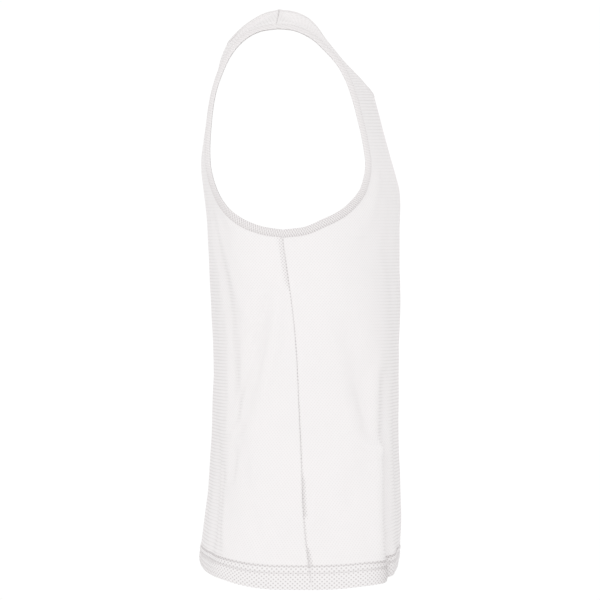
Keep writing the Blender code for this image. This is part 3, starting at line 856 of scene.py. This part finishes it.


# %% [markdown]
# The holes follow from two waves, one across and one up the cloth: where both crest, or both
# dip, is a hole, which gives staggered rows. In the photo they are about 3.7 mm apart across
# and 3.9 mm apart up the cloth. The holes are painted darker, as painted shade seen through them,
# and more where a second layer lies behind. In the hem two layers lie on each other, and their
# holes read as a coarser pattern with deeper painted shade. Where the cloth turns to the front or
# the back, the furrows between the rows of knit get painted shade too, most of all low on the bib.

# %% Polyester mesh for the panels
KNIT_SHEEN = 0.03
KNIT_ROUGHNESS = 0.85
HOLE_ACROSS = 3.7
HOLE_UP = 3.9
HOLE_FULL = 0.9
HEM_HOLE_ACROSS = 5.8
HEM_HOLE_UP = 3.5
HEM_HOLE_FULL = 0.8
FURROW_FROM = -0.4
WAVER = 0.48
WAVER_PATCH = 100 / 7
SHADE_PATCH = 500 / 7
FUZZ_PATCH = 10 / 9
FUZZ_HEIGHT = 0.1
# Painted shade in the holes, with nothing and with a second layer behind.
HOLE_SHADE_ALONE = 0.11
HOLE_SHADE_DOUBLED = 0.44
SEWN_LINE_AND_SHADE_DARK = 0.42
# Painted shade in the furrows where the cloth turns to the front or back.
FURROW_SHADE = 0.15
ROWS_FROM, ROWS_FULL = 0.6, 0.15
DIP_DEPTH = 3.0
RELIEF = 0.3
MESH_BUMP = 0.2


def hole_pattern(tree, flat, across=HOLE_ACROSS, up=HOLE_UP, full=HOLE_FULL):
    """A mask of staggered holes over the flat cut, with their spacing in millimetres."""
    parts = add(tree, "SeparateXYZ", {0: flat}).node.outputs
    waves = [wave_along(tree, part, spacing) for part, spacing in zip(parts, (across, up))]
    both = add(tree, "Math", {0: waves[0], 1: waves[1]}, operation="MULTIPLY")
    return add(tree, "MapRange", {"Value": both, "From Max": full}, interpolation_type="SMOOTHSTEP")


def row_pattern(tree, up, spacing):
    """A mask of the furrows between the rows of knit, which lie across the way up."""
    return add(tree, "MapRange", {"Value": wave_along(tree, up, spacing), "From Min": FURROW_FROM})


def wavering(tree, flat):
    """The flat place, moved by up to a quarter of a millimetre, as yarn is never quite even."""
    noise = add(tree, "TexNoise", {"Vector": flat, "Scale": 1 / (WAVER_PATCH * MM), "Detail": 1.0}, 1)
    way = add(tree, "VectorMath", {0: noise, 1: (0.5, 0.5, 0.5)}, operation="SUBTRACT")
    return add(tree, "VectorMath", {0: way, 1: [WAVER * MM] * 3, 2: flat}, operation="MULTIPLY_ADD")


def furrow_shade_where_turned(tree, furrow_shade_by_height):
    """Painted shade in the furrows: most where the cloth turns away to the front or the back."""
    facing = add(tree, "SeparateXYZ", {0: add(tree, "TexCoord", {}, "Normal")})
    facing = add(tree, "Math", {0: facing}, operation="ABSOLUTE")
    turned = {"Value": facing, "From Min": ROWS_FROM, "From Max": ROWS_FULL, "To Max": FURROW_SHADE}
    return add(tree, "Math", {0: add(tree, "MapRange", turned), 1: furrow_shade_by_height}, operation="MULTIPLY")


def finish_knit(tree, shader, share, plain, relief, strength):
    """The knit's colour, from plain to the dark of its holes, which is painted shade, and its fine relief.
    """
    colour = {0: share, 6: plain, 7: linear("9E9797")}
    tree.links.new(add(tree, "Mix", colour, 2, data_type="RGBA"), shader.inputs["Base Color"])
    bump = add(tree, "Bump", {"Strength": strength, "Distance": RELIEF * MM, "Height": relief})
    tree.links.new(bump, shader.inputs["Normal"])


def mesh_material():
    material, tree, shader = new_material("polyester_mesh_knit", KNIT_SHEEN, KNIT_ROUGHNESS)
    flat = wavering(tree, add(tree, "UVMap", {}, uv_map="flat_cut"))
    layers, in_hem, furrow_shade_by_height = (
        add(tree, "Attribute", {}, "Fac", attribute_name=kind) for kind in ("layers", "hem", "rows")
    )
    fine = hole_pattern(tree, flat)
    coarse = hole_pattern(tree, flat, HEM_HOLE_ACROSS, HEM_HOLE_UP, HEM_HOLE_FULL)
    holes = add(tree, "Mix", {0: in_hem, 2: fine, 3: coarse})
    # The holes get painted shade, more where a second layer lies behind.
    dark = add(tree, "MapRange", {"Value": layers, "To Min": HOLE_SHADE_ALONE, "To Max": HOLE_SHADE_DOUBLED})
    rows = row_pattern(tree, add(tree, "SeparateXYZ", {0: flat}, 1), HOLE_UP)
    rows = add(tree, "Math", {0: rows, 1: furrow_shade_where_turned(tree, furrow_shade_by_height)}, operation="MULTIPLY")
    both = add(tree, "Math", {0: holes, 1: dark, 2: rows}, operation="MULTIPLY_ADD")
    # Past one layer it gets darker still: the sewn seam lines, and the painted shade of the hem's needle
    # lines and front corner.
    sewn = {"Value": layers, "From Min": 1.0, "From Max": 2.0, "To Max": SEWN_LINE_AND_SHADE_DARK}
    sewn = add(tree, "MapRange", sewn)
    share = add(tree, "Math", {0: both, 1: sewn}, operation="ADD", use_clamp=True)
    shade = add(tree, "TexNoise", {"Vector": flat, "Scale": 1 / (SHADE_PATCH * MM), "Detail": 3.0})
    tone = {0: shade, 6: linear("EFECEC"), 7: linear("EBE9E9")}
    plain = add(tree, "Mix", tone, 2, data_type="RGBA")
    yarns = add(tree, "TexNoise", {"Vector": flat, "Scale": 1 / (FUZZ_PATCH * MM), "Detail": 2.0})
    fuzz = add(tree, "Math", {0: yarns, 1: FUZZ_HEIGHT}, operation="MULTIPLY")
    relief = add(tree, "Math", {0: both, 1: -DIP_DEPTH, 2: fuzz}, operation="MULTIPLY_ADD")
    finish_knit(tree, shader, share, plain, relief, MESH_BUMP)
    return material


def dress(piece, material):
    """Gives a piece its only material."""
    piece.data.materials.clear()
    piece.data.materials.append(material)


mesh_white = mesh_material()
for cloth in (front_cloth, back_cloth):
    dress(cloth, mesh_white)
print("holes every", HOLE_ACROSS, "by", HOLE_UP, "mm")

# %% [markdown]
# The binding is cut across the grain and folded, so its ribs run slantwise, and its holes are
# painted darker, as painted shade of its second layer seen through them. A rotation of the flat
# place turns the pattern. Under the arm the bib's dim inside lies behind the holes, so ribs and
# holes get strong painted shade there; on the straps only light lies behind, so they get little,
# and the rows of the panel's knit show through instead.

# %% Folded mesh for the bindings
BAND_RIB = 2.5
BAND_SLANT = 28
RIB_FROM = -0.6
RIB_DARK = 0.26
# Painted shade in the binding's holes.
BAND_HOLE_SHADE = 0.2
DARK_BELOW = -0.225
LIGHT_ABOVE = -0.175
# How strongly ribs and holes are painted with shade under the arm and on the straps.
BAND_SHADE_BELOW, BAND_SHADE_ABOVE = 1.2, 0.1
BAND_ROW_TILT = 20
BAND_ROW_SPACING = 2.9
BAND_ROW_DARK = 0.12
BAND_BUMP = 0.15
STITCH_CORNER = 4
MARK_SPACING = 2.8
MARK_REACH, MARK_CORE = 0.9, 0.4
# Painted shade in the needle's dips on the binding.
MARK_SHADE = 0.18
DOT_FROM, DOT_FULL, DOT_LEAST = -0.5, 0.7, 0.3


def needle_dip_shade(tree, place):
    """A mask of painted shade in the small dips where the needle draws the binding down."""
    shape = np.array(BINDING_SHAPE) * (BINDING_WIDTH, BINDING_WALL / 2)
    line = 2 * BINDING_WIDTH * float(even_lengths(shape)[STITCH_CORNER]) * MM + float(FLAT_SHIFT[0])
    parts = add(tree, "SeparateXYZ", {0: place}).node.outputs
    away = add(tree, "Math", {0: parts[0], 1: line}, operation="SUBTRACT")
    away = add(tree, "Math", {0: away}, operation="ABSOLUTE")
    near = {"Value": away, "From Min": MARK_REACH * MM, "From Max": MARK_CORE * MM, "To Max": MARK_SHADE}
    near = add(tree, "MapRange", near)
    wave = wave_along(tree, parts[1], MARK_SPACING)
    dots = {"Value": wave, "From Min": DOT_FROM, "From Max": DOT_FULL, "To Min": DOT_LEAST}
    return add(tree, "Math", {0: near, 1: add(tree, "MapRange", dots)}, operation="MULTIPLY")


def strap_rows_mask(tree, spot, height):
    """The rows of the panel's knit, which show through the binding on the straps."""
    tilt = radians(BAND_ROW_TILT)
    up = {0: spot, 1: (0.0, -float(np.sin(tilt)), float(np.cos(tilt)))}
    rows = row_pattern(tree, add(tree, "VectorMath", up, "Value", operation="DOT_PRODUCT"), BAND_ROW_SPACING)
    strength = {"Value": height, "From Min": DARK_BELOW, "From Max": LIGHT_ABOVE, "To Max": BAND_ROW_DARK}
    return add(tree, "Math", {0: rows, 1: add(tree, "MapRange", strength)}, operation="MULTIPLY")


def band_material():
    material, tree, shader = new_material("polyester_mesh_binding", KNIT_SHEEN, KNIT_ROUGHNESS)
    place = add(tree, "UVMap", {}, uv_map="flat_cut")
    flat = wavering(tree, place)
    slant = add(tree, "Mapping", {"Vector": flat, "Rotation": (0.0, 0.0, radians(BAND_SLANT))})
    wave = wave_along(tree, add(tree, "SeparateXYZ", {0: slant}, 1), BAND_RIB)
    ribs = add(tree, "MapRange", {"Value": wave, "From Min": RIB_FROM})
    holes = add(tree, "Math", {0: hole_pattern(tree, flat), 1: BAND_HOLE_SHADE}, operation="MULTIPLY")
    share = add(tree, "Math", {0: ribs, 1: RIB_DARK, 2: holes}, operation="MULTIPLY_ADD")
    spot = add(tree, "TexCoord", {}, "Object")
    height = add(tree, "SeparateXYZ", {0: spot}, 2)
    # Painted shade: ribs and holes darker under the arm, lighter on the straps.
    band_shade_by_height = {
        "Value": height, "From Min": DARK_BELOW, "From Max": LIGHT_ABOVE,
        "To Min": BAND_SHADE_BELOW, "To Max": BAND_SHADE_ABOVE,
    }
    strength, rows = add(tree, "MapRange", band_shade_by_height), strap_rows_mask(tree, spot, height)
    share = add(tree, "Math", {0: share, 1: strength, 2: rows}, operation="MULTIPLY_ADD")
    share = add(tree, "Math", {0: share, 1: needle_dip_shade(tree, place)}, operation="ADD", use_clamp=True)
    relief = add(tree, "Math", {0: 1.0, 1: share}, operation="SUBTRACT")
    finish_knit(tree, shader, share, linear("E9E6E6"), relief, BAND_BUMP)
    return material


band_white = band_material()
for band in bindings.values():
    dress(band.piece, band_white)
print("binding ribs every", BAND_RIB, "mm")

# %% [markdown]
# Sewing thread is spun polyester, fuzzy and a little brighter than the mesh. Its colour varies
# with its twist. The floor's paint varies too, in far larger patches, so one function serves both.

# %% Spun polyester thread


def mottled_material(name, sheen, roughness, patch, detail, first, second):
    """A material whose colour varies between two, in patches of a size in millimetres."""
    material, tree, shader = new_material(name, sheen, roughness)
    place = add(tree, "TexCoord", {}, "Object")
    patches = add(tree, "TexNoise", {"Vector": place, "Scale": 1 / (patch * MM), "Detail": detail})
    colour = {0: patches, 6: linear(first), 7: linear(second)}
    tree.links.new(add(tree, "Mix", colour, 2, data_type="RGBA"), shader.inputs["Base Color"])
    return material


thread_white = mottled_material(
    "spun_polyester_thread", sheen=0.1, roughness=0.6, patch=0.4, detail=1.0, first="E6E3E3", second="F6F4F4"
)
print("materials", mesh_white.name, band_white.name, thread_white.name)

# %% [markdown]
# The sewing shows as rows of short stitches. One stitch is a small ball drawn long. An Array
# modifier repeats it, and a Curve modifier lays the row along the seam. The hem has two needle
# lines and each binding has one. The side and shoulder seams are sewn from inside, so they show
# as a groove and a darker line, without stitches.

# %% One row of stitches along a seam
HEM_STITCH, BAND_STITCH = 2.4, 1.9
STITCH_GAP = 0.9
THREAD = 0.55


def add_path(points):
    """A line of straight steps through points in millimetres, for stitches to follow."""
    curve = bpy.data.curves.new("sewing_line", "CURVE")
    curve.dimensions = "3D"
    spline = curve.splines.new("POLY")
    spline.points.add(len(points) - 1)
    places = np.concatenate([points * MM, np.ones((len(points), 1))], axis=1)
    spline.points.foreach_set("co", places.ravel())
    path = bpy.data.objects.new("sewing_line", curve)
    bpy.context.collection.objects.link(path)
    return path


def sew_row(points, stitch):
    """Stitches laid end to end along a line, in millimetres."""
    total = lengths_along(points)[-1]
    count = max(1, int(total / (stitch + STITCH_GAP)))
    deselect()
    bpy.ops.mesh.primitive_uv_sphere_add(segments=6, ring_count=4, radius=0.5, rotation=(0, pi / 2, 0))
    row = bpy.context.object
    row.scale = (THREAD * MM, THREAD * MM, stitch * MM)
    row.location = (stitch / 2 * MM, 0, 0)
    bpy.ops.object.transform_apply()
    bpy.ops.object.shade_smooth()
    repeat = row.modifiers.new("repeat", "ARRAY")
    repeat.count = count
    repeat.use_relative_offset = False
    repeat.use_constant_offset = True
    repeat.constant_offset_displace = (total / count * MM, 0, 0)
    path = add_path(points)
    follow = row.modifiers.new("follow", "CURVE")
    follow.object = path
    for name in ("repeat", "follow"):
        bpy.ops.object.modifier_apply(modifier=name)
    bpy.data.objects.remove(path)
    return row


def sew(name, lines, stitch):
    """All rows of stitches of one seam, as one piece."""
    piece = join_merged([sew_row(points, stitch) for points in lines], name)
    dress(piece, thread_white)
    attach(piece, "root")
    print(name, len(piece.data.polygons), "faces")


# %% Sew the hem and the bindings
ON_HEM = 0.45
ON_BINDING = 0.75


def round_body(row):
    """The front's and the back's row of cloth, as lines on its outer face."""
    lines = []
    for name in ("front", "back"):
        points, normals = (
            np.concatenate([halves[name, -1][k][row][::-1], halves[name, 1][k][row][1:]]) for k in (0, 1)
        )
        lines.append(points + normals * HEM_WALL * ON_HEM)
    return lines


def round_binding(band):
    """The needle line of a binding, which closes on itself."""
    reach = BINDING_SHAPE[STITCH_CORNER].outward * band.width
    points = band.points + band.outs * reach + band.normals * (ON_BINDING * BINDING_WALL / 2)
    return np.concatenate([points, points[:1]])


needle_rows = [round(line / HEM_REACH * (HEM_ROWS - 1)) for line in NEEDLE_LINES]
sew("hem_stitches", [line for row in needle_rows for line in round_body(row)], HEM_STITCH)
for name, band in bindings.items():
    sew(f"{name}_stitches", [round_binding(band)], BAND_STITCH)

# %% [markdown]
# Each piece of cloth has a flat cut, whose size the flat places give. A shell has two sides, so
# its cloth is half of its area. A binding's cut is its folded strip opened out. Here only each
# panel's name is read off its piece.

# %% Each panel's name


for cloth in (front_cloth, back_cloth):
    name = cloth.name.split("_")[0]

# %% [markdown]
# The studio has a pale floor well below the bib, a white surround, and soft light mostly from
# where the camera is, so the side is bright and the cloth darkens where it turns away.

# %% Floor, light and surround
FLOOR_SIZE, FLOOR_LEVEL = 12, -1.1
SURROUND_BEHIND, SURROUND_BEFORE = 1.02, 0.95
SURROUND_TURN = -0.6
SOFTBOX_PLACE, SOFTBOX_AIM = (-3.2, 0.3, 0.3), (0.0, -0.03, -0.35)
SOFTBOX_SIZE, SOFTBOX_POWER = 1.4, 13.0


def add_floor():
    deselect()
    place = (0, 0, FLOOR_LEVEL)
    bpy.ops.mesh.primitive_grid_add(x_subdivisions=8, y_subdivisions=8, size=FLOOR_SIZE, location=place)
    floor = bpy.context.object
    floor.name = "studio_floor"
    bpy.ops.object.transform_apply(location=True)
    paint = mottled_material(
        "painted_studio_floor", sheen=0.0, roughness=0.7, patch=1000 / 3, detail=2.0,
        first="F4F4F4", second="F8F8F8",
    )
    floor.data.materials.append(paint)


def add_surround():
    """White all round, as in a light tent, but less bright on the camera's side of it."""
    world = bpy.data.worlds.new("white_surround")
    world.use_nodes = True
    bpy.context.scene.world = world
    tree = world.node_tree
    across = add(tree, "SeparateXYZ", {0: add(tree, "TexCoord", {}, "Generated")})
    reach = {
        "Value": across, "From Min": SURROUND_TURN, "From Max": 0.0,
        "To Min": SURROUND_BEFORE, "To Max": SURROUND_BEHIND,
    }
    background = tree.nodes["Background"]
    background.inputs["Color"].default_value = linear("FFFFFF")
    strength = add(tree, "MapRange", reach, interpolation_type="SMOOTHSTEP")
    tree.links.new(strength, background.inputs["Strength"])


def add_softbox():
    deselect()
    bpy.ops.object.light_add(type="AREA", location=SOFTBOX_PLACE)
    light = bpy.context.object
    light.name = "large_softbox"
    light.data.shape = "SQUARE"
    light.data.size = SOFTBOX_SIZE
    light.data.energy = SOFTBOX_POWER
    way = Vector(SOFTBOX_AIM) - Vector(SOFTBOX_PLACE)
    light.rotation_euler = way.to_track_quat("-Z", "Y").to_euler()


add_floor()
add_surround()
add_softbox()
print("softbox of", SOFTBOX_SIZE, "m and", SOFTBOX_POWER, "W")

# %% [markdown]
# The photo looks square on at the wearer's right side, and shows no vanishing lines: the far
# armhole lies exactly behind the near one. A long lens from 34 m away gives nearly that view. It
# stands level with the armholes and looks down a little, at the middle of the bib.

# %% The camera
LENS = 1700.0
SENSOR = 36.0
FRAME_WIDTH = 0.7248
MIDDLE = Vector((0.0, -0.027, -0.34095))
CAMERA_HEIGHT = -0.175
SEES_AS_FAR_AS = 10


def add_camera():
    deselect()
    distance = FRAME_WIDTH * LENS / SENSOR
    place = Vector((-distance, MIDDLE.y, CAMERA_HEIGHT))
    bpy.ops.object.camera_add(location=place)
    camera = bpy.context.object
    camera.name = "side_camera"
    camera.data.lens = LENS
    camera.data.sensor_width = SENSOR
    camera.data.clip_end = SEES_AS_FAR_AS * distance
    camera.rotation_euler = (MIDDLE - place).to_track_quat("-Z", "Y").to_euler()
    bpy.context.scene.camera = camera
    print("camera", round(distance, 1), "m away")


add_camera()
bpy.context.scene.view_settings.view_transform = "Standard"
